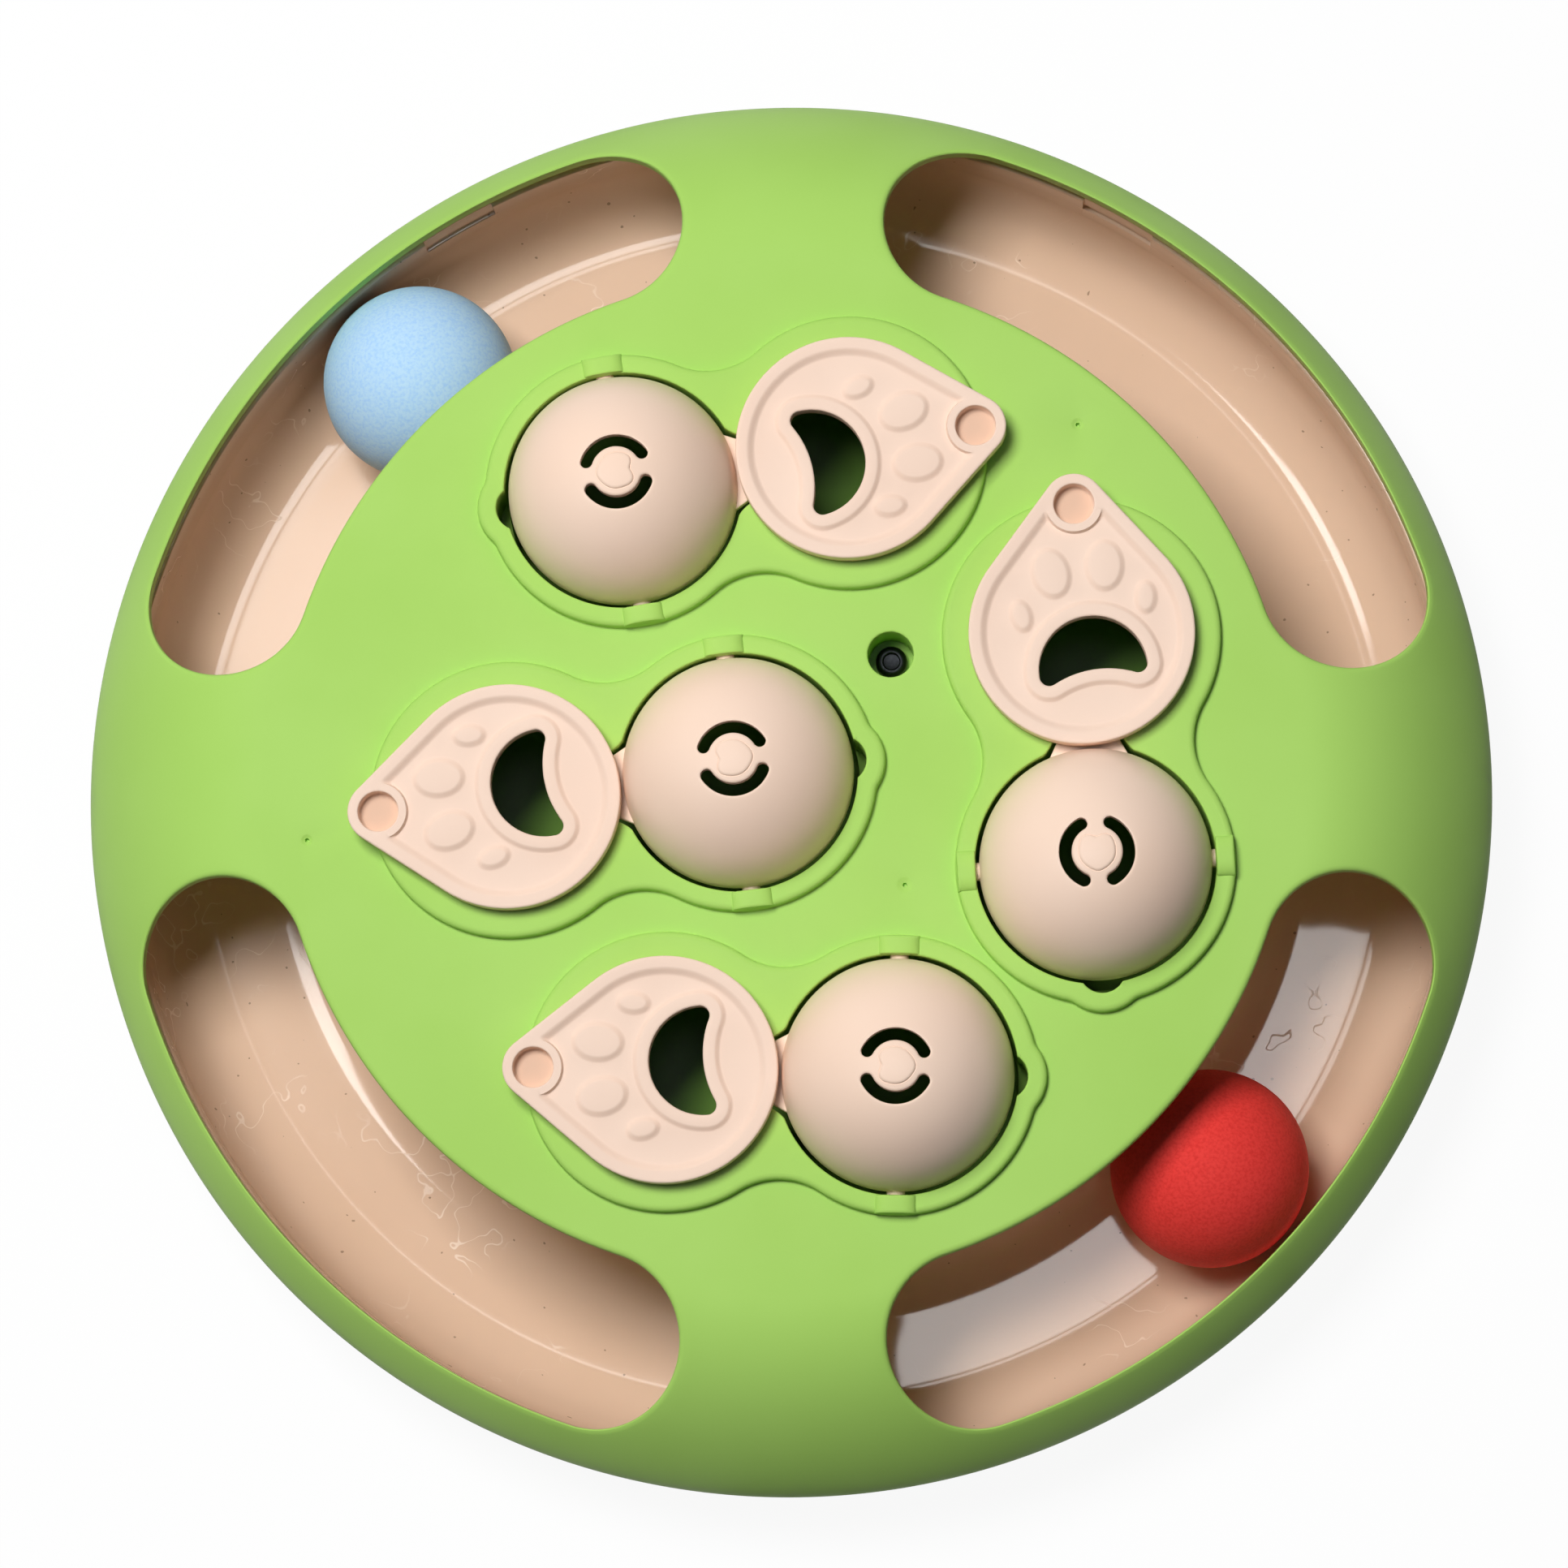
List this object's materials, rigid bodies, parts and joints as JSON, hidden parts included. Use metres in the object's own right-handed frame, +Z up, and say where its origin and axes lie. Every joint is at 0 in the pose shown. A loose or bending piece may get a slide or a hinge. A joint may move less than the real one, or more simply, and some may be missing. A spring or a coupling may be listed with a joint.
{
  "type": "pet puzzle feeder",
  "caption": "Round pet puzzle feeder: a green cover with flip-up treat domes and swinging paw-print lids over a tan track in which balls roll behind windows.",
  "frame": {"origin": "centre of the round base on the floor under its feet", "axes": "+Z up, +X to the right and +Y away from the viewer as the picture shows it"},
  "size_m": [0.25, 0.25, 0.069],
  "materials": {
    "green_shell": "fine moulded satin",
    "tan_track": "glossy moulding with light scratches",
    "dome_plastic": "smooth satin",
    "lid_plastic": "matte",
    "blue_ball": "matte, faintly mottled",
    "red_ball": "matte, faintly mottled",
    "steel": "zinc-plated",
    "nylon": "plain moulded",
    "foot_rubber": "matte"
  },
  "bodies": {
    "housing": {"top_cover": "green_shell", "track_base": "tan_track", "deck_screw": "steel", "foot_1": "foot_rubber", "foot_2": "foot_rubber", "foot_3": "foot_rubber", "foot_4": "foot_rubber"},
    "dome_1": {"flip_dome_1": "dome_plastic"},
    "lid_1": {"swing_lid_1": "lid_plastic", "lid_washer_1": "nylon", "lid_screw_1": "steel"},
    "dome_2": {"flip_dome_2": "dome_plastic"},
    "lid_2": {"swing_lid_2": "lid_plastic", "lid_washer_2": "nylon", "lid_screw_2": "steel"},
    "dome_3": {"flip_dome_3": "dome_plastic"},
    "lid_3": {"swing_lid_3": "lid_plastic", "lid_washer_3": "nylon", "lid_screw_3": "steel"},
    "dome_4": {"flip_dome_4": "dome_plastic"},
    "lid_4": {"swing_lid_4": "lid_plastic", "lid_washer_4": "nylon", "lid_screw_4": "steel"},
    "blue_ball": {"ball_blue": "blue_ball"},
    "red_ball": {"ball_red": "red_ball"}
  },
  "joints": [
    {"name": "dome_1_flip", "type": "hinge", "parent": "housing", "child": "dome_1", "pos_m": [-0.02786, 0.04944, 0.0486], "axis": [-0.1633, 0.9866, 0], "range_deg": [0, 60]},
    {"name": "lid_1_swing", "type": "hinge", "parent": "housing", "child": "lid_1", "pos_m": [0.03385, 0.05965, 0.0513], "axis": [0, 0, 1], "range_deg": [-100, 15]},
    {"name": "dome_2_flip", "type": "hinge", "parent": "housing", "child": "dome_2", "pos_m": [-0.00768, -0.00048, 0.0486], "axis": [0.1132, -0.9936, 0], "range_deg": [0, 60]},
    {"name": "lid_2_swing", "type": "hinge", "parent": "housing", "child": "lid_2", "pos_m": [-0.06983, -0.00756, 0.0513], "axis": [0, 0, 1], "range_deg": [-15, 100]},
    {"name": "dome_3_flip", "type": "hinge", "parent": "housing", "child": "dome_3", "pos_m": [0.01987, -0.05316, 0.0486], "axis": [-0.0175, -0.9998, 0], "range_deg": [0, 60]},
    {"name": "lid_3_swing", "type": "hinge", "parent": "housing", "child": "lid_3", "pos_m": [-0.04266, -0.05206, 0.0513], "axis": [0, 0, 1], "range_deg": [-100, 15]},
    {"name": "dome_4_flip", "type": "hinge", "parent": "housing", "child": "dome_4", "pos_m": [0.05421, -0.01678, 0.0486], "axis": [-0.9985, -0.0541, 0], "range_deg": [0, 60]},
    {"name": "lid_4_swing", "type": "hinge", "parent": "housing", "child": "lid_4", "pos_m": [0.05083, 0.04567, 0.0513], "axis": [0, 0, 1], "range_deg": [-15, 100]},
    {"name": "blue_ball_roll", "type": "hinge", "parent": "housing", "child": "blue_ball", "pos_m": [0, 0, 0.02105], "axis": [0, 0, 1], "range_deg": [-152, 164]},
    {"name": "red_ball_roll", "type": "hinge", "parent": "housing", "child": "red_ball", "pos_m": [0, 0, 0.02105], "axis": [0, 0, 1], "range_deg": [-164, 152]}
  ]
}
